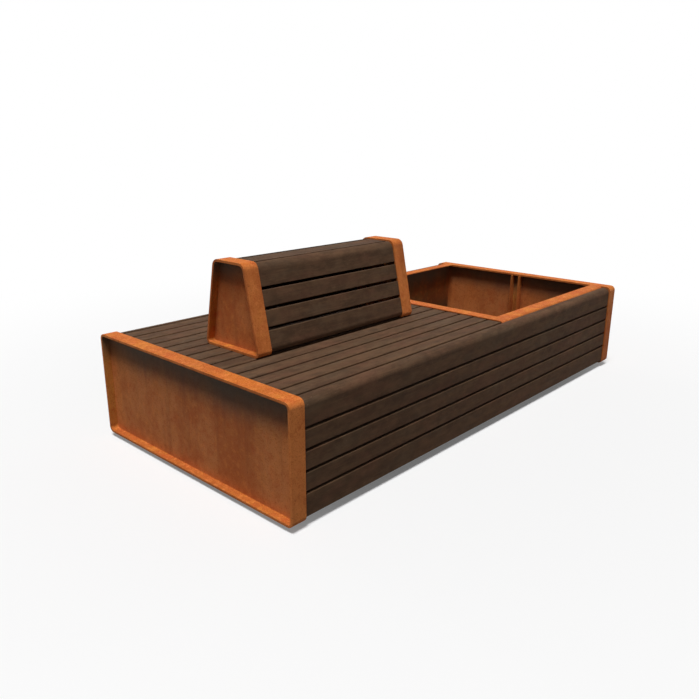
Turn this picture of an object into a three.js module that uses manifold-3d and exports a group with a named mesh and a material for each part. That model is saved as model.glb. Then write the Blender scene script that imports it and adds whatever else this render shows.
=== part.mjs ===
// Bench with planter: two end rings of weathering steel joined by timber boards,
// a two-sided backrest that stands on the seat, and an open planter at the far end.
// Millimetres, +Z up, +X from the near end to the planter's end, +Y across the seat.
// The origin lies on the ground under the centre of the object.

import * as THREE from 'three';
import { mergeVertices } from 'three/addons/utils/BufferGeometryUtils.js';
import Module from 'manifold-3d';

const wasm = await Module();
wasm.setup();

// Driving dimensions of the whole

const overallLength = 2500; // over the outer faces of the two end rings
const overallWidth = 1187; // over the side faces of an end ring
const seatLevel = 462; // height of the timber seat over the ground
const groundGap = 20; // free height between the ground and the end rings
const touch = 0.3; // clearance where two pieces meet

// Timber boards of the seat and the long sides

const timber = 43; // thickness of a board
const gap = 10.5; // open joint between two boards
const seatBoards = 14; // across the seat, without the two corner boards
const middleSideBoards = 3; // on each long side, between the corner board and the bottom board
const cornerBoard = 98; // height of the board that turns the corner from seat to side
const cornerRound = 30; // rounded outer edge of this board, and of the backrest's top and foot boards
const bottomBoard = 85.5; // height of the lowest side board
const ease = 3.5; // broken edges of every board
const setback = 6; // the timber lies this far inside the steel's outer faces

// End rings and their webs

const plate = 10; // thickness of the plate that the rings are bent from
const ringDepth = 65; // along X
const ringBend = 25; // outer radius of a bent corner
const web = 5; // plate that closes a ring
const webRecess = 33; // from the ring's outer face to the web
const ledger = 60; // flange on the inner side of a web, under the ends of the boards

// Backrest

const backrestClear = 171.5; // free seat between the near end ring and the backrest
const planterClear = 181; // free seat between the backrest and the planter's rim
const backrestHeight = 354;
const backrestBase = 346; // width at its foot, over the steel
const backrestCrown = 185; // width at its top, over the steel
const backrestRing = 68; // depth of its rings along X
const backrestRecess = 31.5; // from a backrest ring's outer face to its web
const backrestGap = 12.5; // open joint between two boards of the backrest
const shoulderTop = 26.5; // width of the uppermost slanted boards on top, with their round edge
const crownEase = 2; // broken edges beside the two joints on top
const ledgerLift = 25; // free height over the foot flange, for the nuts
const sideBoardShares = [0.289, 0.209, 0.208, 0.294]; // of the timber on a slanted side, from the top

// Planter

const planterLength = 1080; // from the rim's outer edge to the far ring
const rimNear = 62; // width of the rim's strip across the seat
const rimSide = 67; // width of the rim's strips along the sides
const rimLip = 22; // height of the rim's edges that are turned down beside the corner boards
const rimBend = 12; // outer radius of these edges
const rimOverhang = 41.5; // the rim reaches this far inwards over the walls
const wall = 4; // sheet of the planter's walls and floor
const battenFlange = 30; // width of the side walls' battens against the side boards
const battenShares = [1 / 6, 1 / 2, 5 / 6]; // places along a side wall
const stiffenerWidth = 54.5; // channel on the far web, over its two fins
const stiffenerDepth = 44; // how far its fins stand out
const drainRadius = 12;
const drainShares = [1 / 6, 1 / 2, 5 / 6]; // places along the floor
const drainRowShare = 0.3; // of the floor's width, from its middle line to each row of drains

// Hidden structure

const frameBar = 40; // channel section of the support frames, square
const rail = 40; // square tube along each side, under the frames
const railWall = 4;
const railInset = 128.5; // from a ring's side face to the middle of the rail
const studRadius = 5;
const studClearance = 0.5; // round each stud and foot stem
const strapWidth = 30;
const strapThickness = 6;
const strapEnd = 20; // from a stud to the end of its strap
const nutRadius = 9;
const nutHeight = 8;
const studEnd = 4; // stud that shows over its nut
const footInset = 150; // from an end ring's outer face to the middle of the first foot
const padRadius = 30;
const padHeight = 8;
const padEase = 2;
const stemRadius = 6;
const stemReach = 24; // stem inside the rail
const lockNutRadius = 11;

// Fineness of round shapes, and how far a cut runs past the surface

const bendSteps = 6;
const easeSteps = 2;
const boreSteps = 16;
const turnSteps = 24;
const overrun = 2;

// Levels and places that follow from these sizes

const ringHalf = overallWidth / 2;
const timberHalf = ringHalf - setback;
const seatHalf = timberHalf - timber;
const boardPitch = (2 * seatHalf - gap) / seatBoards;
const board = boardPitch - gap;
const flangeLevel = groundGap + plate;
const timberBottom = flangeLevel + setback;
const sideTop = seatLevel - cornerBoard - gap;
const sidePitch = (sideTop - timberBottom - bottomBoard) / middleSideBoards;
const seatUnderside = seatLevel - timber;
const ringTop = seatLevel + setback;
const nearFace = -overallLength / 2;
const farFace = overallLength / 2;
const timberStart = nearFace + ringDepth + touch;
const timberEnd = farFace - ringDepth - touch;
const nearWebInside = nearFace + webRecess + web;
const farWebInside = farFace - webRecess - web;
const bendInside = Math.max(ringBend - plate, 0);

const railLevel = flangeLevel + touch;
const frameLevel = railLevel + rail + touch;
const railY = ringHalf - railInset;
const liningHalf = seatHalf - touch;

const rimEdge = farFace - ringDepth - planterLength;
const rimInside = rimEdge + rimNear;
const rimHalf = seatHalf - rimSide;
const rimLevel = seatLevel + touch;
const lipInside = liningHalf - (ringTop - rimLevel);
const lipBottom = ringTop - rimLip;
const nearWallInside = rimInside - rimOverhang;
const nearWallOutside = nearWallInside - wall;
const sideWallInside = rimHalf + rimOverhang;
const floorLevel = frameLevel + wall;

const backrestFoot = seatLevel + touch;
const backrestTop = backrestFoot + backrestHeight;
const backrestStart = nearFace + ringDepth + backrestClear;
const backrestEnd = rimEdge - planterClear;
const lean = (backrestBase - backrestCrown) / 2 / backrestHeight;
const leanLength = Math.hypot(lean, 1);
const backrestRound = Math.min(
  cornerRound,
  (timber - ease) / (leanLength + lean),
  (shoulderTop - crownEase) / (leanLength - lean),
);
const anchorSetback = (backrestRecess + web + backrestRing) / 2;
const anchorPlaces = [backrestStart + anchorSetback, backrestEnd - anchorSetback];
const studBoard = Math.floor(seatBoards / 2) - 2;
const studBoards = [studBoard, seatBoards - 1 - studBoard];

// Finishes

const weatheringSteel = { color: 0xa4511f, roughness: 0.85, metalness: 0.25 };
const darkTimber = { color: 0x5a4636, roughness: 0.75, metalness: 0 };
const galvanised = { color: 0x9aa0a3, roughness: 0.5, metalness: 0.8 };
const zincPlated = { color: 0xb9bcc0, roughness: 0.35, metalness: 0.9 };

const bench = new THREE.Group();
bench.name = 'bench_with_planter';

// Puts one named piece into the group, with a material of its own.
function addPiece(name, geometry, finish) {
  const piece = new THREE.Mesh(geometry, new THREE.MeshStandardMaterial(finish));
  piece.name = name;
  bench.add(piece);
}

// Makes a shape from corners [across, up, radius], each rounded by an arc of its radius.
function roundedShape(corners) {
  const points = [];
  corners.forEach(([across, up, radius = 0], index) => {
    const corner = new THREE.Vector2(across, up);
    if (radius <= 0) {
      points.push(corner);
      return;
    }
    const before = corners.at(index - 1);
    const after = corners[(index + 1) % corners.length];
    const toBefore = new THREE.Vector2(before[0], before[1]).sub(corner).normalize();
    const toAfter = new THREE.Vector2(after[0], after[1]).sub(corner).normalize();
    const halfAngle = Math.acos(toBefore.dot(toAfter)) / 2;
    const middle = toBefore.clone().add(toAfter).setLength(radius / Math.sin(halfAngle));
    const centre = corner.clone().add(middle);
    const start = corner.clone().addScaledVector(toBefore, radius / Math.tan(halfAngle)).sub(centre);
    const turn = Math.sign(toBefore.cross(toAfter)) * (Math.PI - 2 * halfAngle);
    const steps = radius > ease ? bendSteps : easeSteps;
    for (let step = 0; step <= steps; step += 1) {
      const spoke = start.clone().rotateAround(new THREE.Vector2(), -turn * step / steps);
      points.push(centre.clone().add(spoke));
    }
  });
  return new THREE.Shape(points);
}

// Corners of a rectangle, all with one radius.
function rectangle(left, right, low, high, radius = 0) {
  return [[left, low, radius], [right, low, radius], [right, high, radius], [left, high, radius]];
}

// The same corners on the other side of the middle line.
function mirrored(corners) {
  return corners.map(([across, up, radius]) => [-across, up, radius]);
}

// Extrudes a shape drawn in Y and Z along X.
function alongX(shape, start, end) {
  const geometry = new THREE.ExtrudeGeometry(shape, { depth: end - start, bevelEnabled: false });
  const toEast = new THREE.Matrix4().makeBasis(
    new THREE.Vector3(0, 1, 0),
    new THREE.Vector3(0, 0, 1),
    new THREE.Vector3(1, 0, 0),
  );
  geometry.applyMatrix4(toEast);
  return geometry.translate(start, 0, 0);
}

// Extrudes a shape drawn in X and Y upwards.
function upwards(shape, low, high) {
  const geometry = new THREE.ExtrudeGeometry(shape, { depth: high - low, bevelEnabled: false });
  return geometry.translate(0, 0, low);
}

// A plain block between two corners.
function block(low, high) {
  const size = high.map((value, axis) => value - low[axis]);
  const centre = high.map((value, axis) => (value + low[axis]) / 2);
  return new THREE.BoxGeometry(...size).translate(...centre);
}

// An upright round bar, also used to cut a bore.
function bar(x, y, low, high, radius) {
  const geometry = new THREE.CylinderGeometry(radius, radius, high - low, boreSteps);
  return geometry.rotateX(Math.PI / 2).translate(x, y, (low + high) / 2);
}

// Turns a geometry into a solid that can be joined and cut.
function solid(geometry) {
  const shell = geometry.clone();
  shell.deleteAttribute('normal');
  shell.deleteAttribute('uv');
  const merged = mergeVertices(shell);
  return new wasm.Manifold(new wasm.Mesh({
    numProp: 3,
    vertProperties: merged.attributes.position.array,
    triVerts: new Uint32Array(merged.index.array),
  }));
}

// Turns a solid back into a geometry.
function surface(body) {
  const mesh = body.getMesh();
  const geometry = new THREE.BufferGeometry();
  geometry.setAttribute('position', new THREE.BufferAttribute(mesh.vertProperties, 3));
  geometry.setIndex(new THREE.BufferAttribute(mesh.triVerts, 1));
  geometry.computeVertexNormals();
  return geometry;
}

// Joins all geometries of a list into one solid.
function joined(geometries) {
  return geometries.map(solid).reduce((sum, next) => sum.add(next));
}

// Cuts every geometry of a list out of a solid.
function cut(body, tools) {
  return tools.reduce((rest, tool) => rest.subtract(solid(tool)), body);
}

// Middle of a seat board, counted from the front.
function seatBoardMiddle(index) {
  return -seatHalf + gap + board / 2 + index * boardPitch;
}

// Bores for the backrest's studs, at one place along the bench.
function studBores(x, low, high) {
  return studBoards.map((index) => bar(
    x, seatBoardMiddle(index), low, high, studRadius + studClearance,
  ));
}

// An end ring: one bent plate with a closed rectangular outline.
function endRing(outerFace, innerEdge) {
  const shape = roundedShape(rectangle(-ringHalf, ringHalf, groundGap, ringTop, ringBend));
  const inside = rectangle(
    -ringHalf + plate, ringHalf - plate, flangeLevel, ringTop - plate, bendInside,
  );
  shape.holes.push(roundedShape(inside));
  return alongX(shape, Math.min(outerFace, innerEdge), Math.max(outerFace, innerEdge));
}

// The plate that closes an end ring.
function endWebPlate(outside, inside) {
  const reach = ringHalf - plate - touch;
  const radius = Math.max(bendInside - touch, 0);
  const corners = rectangle(-reach, reach, flangeLevel + touch, ringTop - plate - touch, radius);
  return alongX(roundedShape(corners), Math.min(outside, inside), Math.max(outside, inside));
}

function buildEnds() {
  addPiece('near_end_ring', endRing(nearFace, nearFace + ringDepth), weatheringSteel);
  addPiece('far_end_ring', endRing(farFace, farFace - ringDepth), weatheringSteel);

  // The near web carries an arch-shaped flange under the seat boards and behind the side boards.
  const archTop = seatUnderside - touch;
  const arch = new THREE.Shape([
    new THREE.Vector2(-liningHalf, timberBottom),
    new THREE.Vector2(-liningHalf + web, timberBottom),
    new THREE.Vector2(-liningHalf + web, archTop - web),
    new THREE.Vector2(liningHalf - web, archTop - web),
    new THREE.Vector2(liningHalf - web, timberBottom),
    new THREE.Vector2(liningHalf, timberBottom),
    new THREE.Vector2(liningHalf, archTop),
    new THREE.Vector2(-liningHalf, archTop),
  ]);
  const nearWeb = joined([
    endWebPlate(nearFace + webRecess, nearWebInside),
    alongX(arch, nearWebInside - web, nearWebInside + ledger),
  ]);
  addPiece('near_end_web', surface(nearWeb), weatheringSteel);

  // The far web is also the planter's end wall, so it has flanges behind the side boards only.
  const sideFlanges = [-1, 1].map((side) => block(
    [farWebInside - ledger, Math.min(side * liningHalf, side * (liningHalf - web)), timberBottom],
    [farWebInside + web, Math.max(side * liningHalf, side * (liningHalf - web)), sideTop],
  ));
  const farWeb = joined([endWebPlate(farFace - webRecess, farWebInside), ...sideFlanges]);
  addPiece('far_end_web', surface(farWeb), weatheringSteel);
}

function buildSeatBoards() {
  for (let index = 0; index < seatBoards; index += 1) {
    const middle = seatBoardMiddle(index);
    const corners = rectangle(middle - board / 2, middle + board / 2, seatUnderside, seatLevel, ease);
    const geometry = alongX(roundedShape(corners), timberStart, nearWallOutside - touch);
    const name = `seat_slat_${index + 1}`;
    if (!studBoards.includes(index)) {
      addPiece(name, geometry, darkTimber);
      continue;
    }
    const bores = anchorPlaces.flatMap(
      (x) => studBores(x, seatUnderside - overrun, seatLevel + overrun),
    );
    addPiece(name, surface(cut(solid(geometry), bores)), darkTimber);
  }
}

function buildSideBoards() {
  const sides = { front: mirrored, back: (corners) => corners };
  Object.entries(sides).forEach(([side, place]) => {
    const corner = [
      [seatHalf, seatLevel - cornerBoard, ease],
      [timberHalf, seatLevel - cornerBoard, ease],
      [timberHalf, seatLevel, Math.min(cornerRound, timber - ease)],
      [seatHalf, seatLevel, ease],
    ];
    const cornerGeometry = alongX(roundedShape(place(corner)), timberStart, timberEnd);
    addPiece(`corner_slat_${side}`, cornerGeometry, darkTimber);

    // Counted from the top; the last one is the wider bottom board.
    let top = sideTop;
    for (let index = 0; index <= middleSideBoards; index += 1) {
      const low = index < middleSideBoards ? top - sidePitch + gap : timberBottom;
      const corners = place(rectangle(seatHalf, timberHalf, low, top, ease));
      const geometry = alongX(roundedShape(corners), timberStart, timberEnd);
      addPiece(`side_slat_${side}_${index + 1}`, geometry, darkTimber);
      top = low - gap;
    }
  });
}

function buildPlanter() {
  // Both side strips of the rim are turned down at their outer edge.
  const strip = [
    [rimHalf, rimLevel],
    [lipInside, rimLevel, Math.max(rimBend - (ringTop - rimLevel), 0)],
    [lipInside, lipBottom],
    [liningHalf, lipBottom],
    [liningHalf, ringTop, rimBend],
    [rimHalf, ringTop],
  ];
  const sideStrips = [strip, mirrored(strip)].map(
    (corners) => alongX(roundedShape(corners), rimEdge, timberEnd),
  );
  const across = rimHalf + overrun;
  const nearStrip = block([rimEdge, -across, rimLevel], [rimInside, across, ringTop]);
  addPiece('planter_rim', surface(joined([nearStrip, ...sideStrips])), weatheringSteel);

  // Room in the walls for the turned-down edges.
  const lipRoomHalf = liningHalf - rimBend - touch;
  const lipRooms = [[-ringHalf, -lipRoomHalf], [lipRoomHalf, ringHalf]].map(([right, left]) => block(
    [rimEdge, right, lipBottom - touch],
    [farFace, left, ringTop],
  ));

  // The near wall stands on the rails and carries a flange under the ends of the seat boards.
  const wallTop = rimLevel - touch;
  const flangeTop = seatUnderside - touch;
  const nearWall = joined([
    block([nearWallOutside, -liningHalf, frameLevel], [nearWallInside, liningHalf, wallTop]),
    block([nearWallOutside - ledger, -liningHalf, flangeTop - wall], [nearWallInside, liningHalf, flangeTop]),
  ]);
  addPiece('planter_near_wall', surface(cut(nearWall, lipRooms)), weatheringSteel);

  // Each side wall has angle battens that back the side boards.
  const start = nearWallInside + touch;
  const end = farWebInside - touch;
  const sideWallOutside = sideWallInside + wall;
  const outlinePoints = [[start, sideWallInside], [end, sideWallInside], [end, sideWallOutside]];
  [...battenShares].reverse().forEach((share) => {
    const x = start + share * (end - start);
    outlinePoints.push(
      [x + wall, sideWallOutside],
      [x + wall, liningHalf - wall],
      [x + battenFlange, liningHalf - wall],
      [x + battenFlange, liningHalf],
      [x, liningHalf],
      [x, sideWallOutside],
    );
  });
  outlinePoints.push([start, sideWallOutside]);
  const underRing = ringTop - plate - touch;
  const ringNotch = block([timberEnd, -ringHalf, underRing], [farFace, ringHalf, ringTop]);
  Object.entries({ front: -1, back: 1 }).forEach(([side, sign]) => {
    const shape = new THREE.Shape(outlinePoints.map(([x, y]) => new THREE.Vector2(x, sign * y)));
    const sideWall = cut(solid(upwards(shape, floorLevel + touch, wallTop)), [ringNotch, ...lipRooms]);
    addPiece(`planter_${side}_wall`, surface(sideWall), weatheringSteel);
  });

  const floor = solid(block([start, -sideWallOutside, frameLevel], [end, sideWallOutside, floorLevel]));
  const drains = drainShares.flatMap((share) => [-1, 1].map((side) => bar(
    start + share * (end - start),
    side * drainRowShare * 2 * sideWallInside,
    frameLevel - overrun,
    floorLevel + overrun,
    drainRadius,
  )));
  addPiece('planter_floor', surface(cut(floor, drains)), weatheringSteel);

  // Upright channel on the far web, open towards the planter.
  const back = farWebInside - touch;
  const front = back - stiffenerDepth;
  const half = stiffenerWidth / 2;
  const channel = new THREE.Shape([
    new THREE.Vector2(back, -half),
    new THREE.Vector2(back, half),
    new THREE.Vector2(front, half),
    new THREE.Vector2(front, half - wall),
    new THREE.Vector2(back - wall, half - wall),
    new THREE.Vector2(back - wall, -half + wall),
    new THREE.Vector2(front, -half + wall),
    new THREE.Vector2(front, -half),
  ]);
  const stiffener = upwards(channel, floorLevel + touch, underRing);
  addPiece('planter_stiffener', stiffener, weatheringSteel);
}

// Half the backrest's width at a height, measured inside its steel outline by an inset.
function backrestHalf(height, inset) {
  return backrestBase / 2 - lean * (height - backrestFoot) - inset * leanLength;
}

// Corners of the backrest's outline, drawn in by an inset all round.
function backrestCorners(inset, radius) {
  const low = backrestFoot + inset;
  const high = backrestTop - inset;
  const right = [
    [backrestHalf(low, inset), low, radius],
    [backrestHalf(high, inset), high, radius],
  ];
  return [...right, ...mirrored(right).reverse()];
}

function buildBackrestEnd(name, outerFace, direction) {
  const ringShape = roundedShape(backrestCorners(0, ringBend));
  ringShape.holes.push(roundedShape(backrestCorners(plate, bendInside)));
  const span = [outerFace, outerFace + direction * backrestRing].sort((a, b) => a - b);
  const ring = solid(alongX(ringShape, ...span));
  const studX = outerFace + direction * anchorSetback;
  const bores = studBores(studX, backrestFoot - overrun, backrestFoot + plate + overrun);
  addPiece(`backrest_${name}_ring`, surface(cut(ring, bores)), weatheringSteel);

  // The web's flange lies inside the boards and starts over the nuts.
  const webOutside = outerFace + direction * backrestRecess;
  const webInside = webOutside + direction * web;
  const low = backrestFoot + plate + ledgerLift;
  const outer = setback + timber + touch;
  const inner = outer + web;
  const right = [
    [backrestHalf(low, inner), low],
    [backrestHalf(low, outer), low],
    [backrestHalf(backrestTop - outer, outer), backrestTop - outer],
  ];
  const innerTop = [backrestHalf(backrestTop - inner, inner), backrestTop - inner];
  const arch = roundedShape([
    ...right, ...mirrored(right).reverse(), ...mirrored([innerTop]), innerTop,
  ]);
  const webSpan = [webOutside, webInside].sort((a, b) => a - b);
  const archSpan = [webOutside, webInside + direction * ledger].sort((a, b) => a - b);
  const inset = plate + touch;
  const panel = roundedShape(backrestCorners(inset, Math.max(bendInside - touch, 0)));
  const webBody = joined([alongX(panel, ...webSpan), alongX(arch, ...archSpan)]);
  addPiece(`backrest_${name}_web`, surface(webBody), weatheringSteel);
}

function buildBackrestBoards() {
  const start = backrestStart + backrestRing + touch;
  const end = backrestEnd - backrestRing - touch;
  const low = backrestFoot + setback;
  const high = backrestTop - setback;
  const slant = (high - low) * leanLength;
  const timberLength = slant - backrestGap * (sideBoardShares.length - 1);
  const inside = setback + timber;

  // A point at a distance down the slanted face and a depth into the timber.
  function slanted(down, depth) {
    const across = backrestHalf(high, setback) + (down * lean - depth) / leanLength;
    const up = high - (down + depth * lean) / leanLength;
    return [across, up, ease];
  }

  // The uppermost boards are upright beside the joint, down to where their inner faces start to lean.
  const jointEnd = backrestHalf(high, setback) - shoulderTop;
  const crownHalf = jointEnd - backrestGap;
  const jointFoot = high - (jointEnd - backrestHalf(high, inside)) / lean;

  const besideJoint = [[jointEnd, jointFoot], [jointEnd, high, crownEase]];

  const lastIndex = sideBoardShares.length - 1;
  let top = 0;
  sideBoardShares.forEach((share, index) => {
    const bottom = top + share * timberLength;
    const upper = index > 0
      ? [slanted(top, timber), slanted(top, 0)]
      : [...besideJoint, [backrestHalf(high, setback), high, backrestRound]];
    const lower = index < lastIndex
      ? [slanted(bottom, 0), slanted(bottom, timber)]
      : [[backrestHalf(low, setback), low, backrestRound], [backrestHalf(low, inside), low, ease]];
    const corners = [...upper, ...lower];
    const front = alongX(roundedShape(mirrored(corners)), start, end);
    const back = alongX(roundedShape(corners), start, end);
    addPiece(`backrest_slat_front_${index + 1}`, front, darkTimber);
    addPiece(`backrest_slat_back_${index + 1}`, back, darkTimber);
    top = bottom + backrestGap;
  });

  const crown = rectangle(-crownHalf, crownHalf, high - timber, high, crownEase);
  addPiece('backrest_top_slat', alongX(roundedShape(crown), start, end), darkTimber);
}

// A closed frame of channel section, open towards +X, across the bench.
function buildSupportFrame(number, x, studs) {
  const top = seatUnderside - touch;
  const frameShape = roundedShape(rectangle(-liningHalf, liningHalf, frameLevel, top));
  frameShape.holes.push(roundedShape(rectangle(
    -liningHalf + frameBar, liningHalf - frameBar, frameLevel + frameBar, top - frameBar,
  )));
  const pocket = roundedShape(rectangle(
    -liningHalf + wall, liningHalf - wall, frameLevel + wall, top - wall,
  ));
  const pocketInset = frameBar - wall;
  pocket.holes.push(roundedShape(rectangle(
    -liningHalf + pocketInset, liningHalf - pocketInset, frameLevel + pocketInset, top - pocketInset,
  )));
  const start = x - frameBar / 2;
  const end = x + frameBar / 2;
  const tools = [alongX(pocket, start + wall, end + overrun)];
  if (studs) {
    tools.push(...studBores(x, top - frameBar - overrun, top + overrun));
  }
  const frame = cut(solid(alongX(frameShape, start, end)), tools);
  addPiece(`support_frame_${number}`, surface(frame), galvanised);
}

// A strap under a support frame with two studs that hold a backrest ring down.
function buildAnchor(name, x) {
  const strapTop = seatUnderside - touch - frameBar - touch;
  const nutLevel = backrestFoot + plate + touch;
  const [firstStud, lastStud] = studBoards.map(seatBoardMiddle);
  const strap = block(
    [x - strapWidth / 2, firstStud - strapEnd, strapTop - strapThickness],
    [x + strapWidth / 2, lastStud + strapEnd, strapTop],
  );
  const studs = [firstStud, lastStud].flatMap((y) => [
    bar(x, y, strapTop - strapThickness, nutLevel + nutHeight + studEnd, studRadius),
    bar(x, y, nutLevel, nutLevel + nutHeight, nutRadius),
  ]);
  addPiece(`backrest_anchor_${name}`, surface(joined([strap, ...studs])), zincPlated);
}

function buildRailsAndFeet() {
  const footPlaces = { near: nearFace + footInset, middle: 0, far: farFace - footInset };
  const nutTop = railLevel - touch;
  const profile = [
    [0, 0],
    [padRadius, 0],
    [padRadius, padHeight - padEase],
    [padRadius - padEase, padHeight],
    [stemRadius, padHeight],
    [stemRadius, nutTop - nutHeight],
    [lockNutRadius, nutTop - nutHeight],
    [lockNutRadius, nutTop],
    [stemRadius, nutTop],
    [stemRadius, nutTop + stemReach],
    [0, nutTop + stemReach],
  ].map(([radius, height]) => new THREE.Vector2(radius, height));

  Object.entries({ front: -railY, back: railY }).forEach(([side, y]) => {
    const tube = roundedShape(rectangle(y - rail / 2, y + rail / 2, railLevel, railLevel + rail));
    const bore = rail / 2 - railWall;
    tube.holes.push(roundedShape(rectangle(
      y - bore, y + bore, railLevel + railWall, railLevel + rail - railWall,
    )));
    const length = solid(alongX(tube, nearWebInside + touch, farWebInside - touch));
    const stemHoles = Object.values(footPlaces).map((x) => bar(
      x, y, railLevel - overrun, railLevel + railWall + overrun, stemRadius + studClearance,
    ));
    addPiece(`base_rail_${side}`, surface(cut(length, stemHoles)), galvanised);

    Object.entries(footPlaces).forEach(([place, x]) => {
      const foot = new THREE.LatheGeometry(profile, turnSteps).rotateX(Math.PI / 2).translate(x, y, 0);
      addPiece(`foot_${place}_${side}`, foot, zincPlated);
    });
  });
}

buildEnds();
buildSeatBoards();
buildSideBoards();
buildPlanter();
buildBackrestEnd('near', backrestStart, 1);
buildBackrestEnd('far', backrestEnd, -1);
buildBackrestBoards();
buildSupportFrame(1, anchorPlaces[0], true);
buildSupportFrame(2, (anchorPlaces[0] + anchorPlaces[1]) / 2, false);
buildSupportFrame(3, anchorPlaces[1], true);
buildAnchor('near', anchorPlaces[0]);
buildAnchor('far', anchorPlaces[1]);
buildRailsAndFeet();

export default bench;
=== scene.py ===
"""Bench with planter: fine meshes, weathering steel, dark timber and a plain pale studio.

Everything is in metres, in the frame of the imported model: +X runs from the near end to the planter's
end, +Y across the seat from front to back, +Z up, and the ground is at zero.
"""

import logging
import math
import random
from collections.abc import Callable, Iterator
from contextlib import contextmanager
from dataclasses import dataclass, field
from enum import Enum
from typing import ClassVar

import bmesh
import bpy
from mathutils import Matrix, Vector


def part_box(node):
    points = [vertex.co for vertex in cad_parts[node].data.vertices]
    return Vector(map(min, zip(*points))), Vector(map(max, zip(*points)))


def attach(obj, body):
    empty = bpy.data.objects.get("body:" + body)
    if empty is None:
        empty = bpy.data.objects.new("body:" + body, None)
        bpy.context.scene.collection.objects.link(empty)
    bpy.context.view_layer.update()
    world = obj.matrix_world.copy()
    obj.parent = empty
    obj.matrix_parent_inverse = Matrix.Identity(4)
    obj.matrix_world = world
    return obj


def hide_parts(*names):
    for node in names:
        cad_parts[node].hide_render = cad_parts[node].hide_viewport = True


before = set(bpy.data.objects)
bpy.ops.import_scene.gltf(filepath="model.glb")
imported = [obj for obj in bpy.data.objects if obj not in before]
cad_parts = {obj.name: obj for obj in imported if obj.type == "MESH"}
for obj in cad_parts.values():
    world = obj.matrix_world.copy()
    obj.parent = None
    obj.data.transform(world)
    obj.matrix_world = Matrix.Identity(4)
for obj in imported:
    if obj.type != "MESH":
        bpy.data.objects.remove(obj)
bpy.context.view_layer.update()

LOG = logging.getLogger("bench")
MILLIMETRE = 0.001
BODY = "root"
BOARD_TONE = "board_tone"  # attribute of a board's points
INNER_FACE = "inner_face"  # attribute of a steel piece's faces, marking those turned inwards, which get painted shade
TONE_SEED = 11
FULL_SCALE = 255  # highest level of a screen colour
WHITE = (1.0, 1.0, 1.0, 1.0)

TOLERANCE = 0.05 * MILLIMETRE  # between places that count as one
ALONG = 0.99995  # least part of a direction that counts as along an axis
MOSTLY = 0.5  # least part of a normal that a face mostly looks along
SHARP = math.radians(40)  # least angle between faces whose edge gets broken
SMOOTH = math.radians(60)  # greatest angle between faces that are shaded smooth
FLAT_ANGLE = math.radians(1)  # greatest angle between faces that are one face
ROUND_PROFILE = 0.5  # of a bevel
LARGE_FACES_FIRST = 100  # weight of large faces in the shading
EDGE_SEGMENTS = 2  # of a steel edge's small round

UNDER_SEAT = (0.29, 0.45)  # heights over which painted shade under the seat's flange or the rim grows to full, upwards
UNDER_CROWN = (0.71, 0.81)
PLANTER_SHADE_HEIGHTS = (0.38, 0.16)  # heights over which painted shade inside the planter grows, from the top down

NOISE_MIDDLE = 0.5
NOISE_SPREAD = (0.3, 0.7)  # values between which most of a noise lies

Colour = tuple[int, int, int]
Span = tuple[float, float]
Corner = tuple[float, float]  # place in Y and Z
Triple = tuple[float, float, float]  # a number for each axis


class Slot(Enum):
    """Material slots whose names the finishes carry."""

    STEEL = "weathering_steel"
    TIMBER = "seat_timber"
    GALVANISED = "galvanised_steel"
    ZINC = "zinc_hardware"


class Axis(Enum):
    """Axes of the frame, as places in a vector."""

    X = 0
    Y = 1
    Z = 2


class PaintedShadeFaces(Enum):
    """The faces of a steel piece that get painted shade under a flange."""

    ALL_ROUND = "all round"
    NEAR_SIDE = "near side"
    INNER_FACES = "inner faces"


class Pick(Enum):
    """What is selected in edit mode, by its name in a mesh."""

    EDGES = "edges"
    FACES = "faces"


class Side(Enum):
    """The two long sides of the bench, as the sign of Y."""

    FRONT = -1
    BACK = 1


class End(Enum):
    """The two ends of the bench or its backrest, as in the names of pieces."""

    NEAR = "near"
    FAR = "far"


def linear(colour: Colour) -> tuple[float, float, float, float]:
    """Turns a colour as seen on a screen into a shader colour.

    Args:
        colour: Red, green and blue, each from 0 to 255.

    Returns:
        Linear red, green and blue, with an alpha of one.
    """
    knee, slope, offset, power = 0.04045, 12.92, 0.055, 2.4
    channels = []
    for level in colour:
        share = level / FULL_SCALE
        channels.append(share / slope if share <= knee else ((share + offset) / (1 + offset)) ** power)
    return (*channels, 1.0)


class Signal:
    """A shader socket whose arithmetic adds Math nodes."""

    def __init__(self, recipe: "Recipe", socket: bpy.types.NodeSocket) -> None:
        """Wraps an output socket of a recipe's node tree."""
        self.recipe = recipe
        self.socket = socket

    def _math(self, operation: str, first: "Signal | float", second: "Signal | float") -> "Signal":
        """Adds one Math node.

        Args:
            operation: The node's operation.
            first: Its first value.
            second: Its second value.

        Returns:
            The node's result.
        """
        return self.recipe.node("ShaderNodeMath", {"operation": operation}, {0: first, 1: second})

    def __add__(self, other: "Signal | float") -> "Signal":
        """Sum."""
        return self._math("ADD", self, other)

    def __radd__(self, other: "Signal | float") -> "Signal":
        """Sum, with the socket on the right."""
        return self._math("ADD", other, self)

    def __sub__(self, other: "Signal | float") -> "Signal":
        """Difference."""
        return self._math("SUBTRACT", self, other)

    def __rsub__(self, other: "Signal | float") -> "Signal":
        """Difference, with the socket on the right."""
        return self._math("SUBTRACT", other, self)

    def __mul__(self, other: "Signal | float") -> "Signal":
        """Product."""
        return self._math("MULTIPLY", self, other)

    def __abs__(self) -> "Signal":
        """Size without its sign."""
        return self._math("ABSOLUTE", self, 0.0)

    def ramp(self, low: float, high: float, start: float = 0.0, end: float = 1.0) -> "Signal":
        """Maps a range smoothly onto another and clamps what lies outside.

        Args:
            low: Value that gives the start.
            high: Value that gives the end.
            start: Result at the low value.
            end: Result at the high value.

        Returns:
            The mapped value.
        """
        settings = {"interpolation_type": "SMOOTHSTEP"}
        sockets = {"Value": self, "From Min": low, "From Max": high, "To Min": start, "To Max": end}
        return self.recipe.node("ShaderNodeMapRange", settings, sockets)


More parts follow.
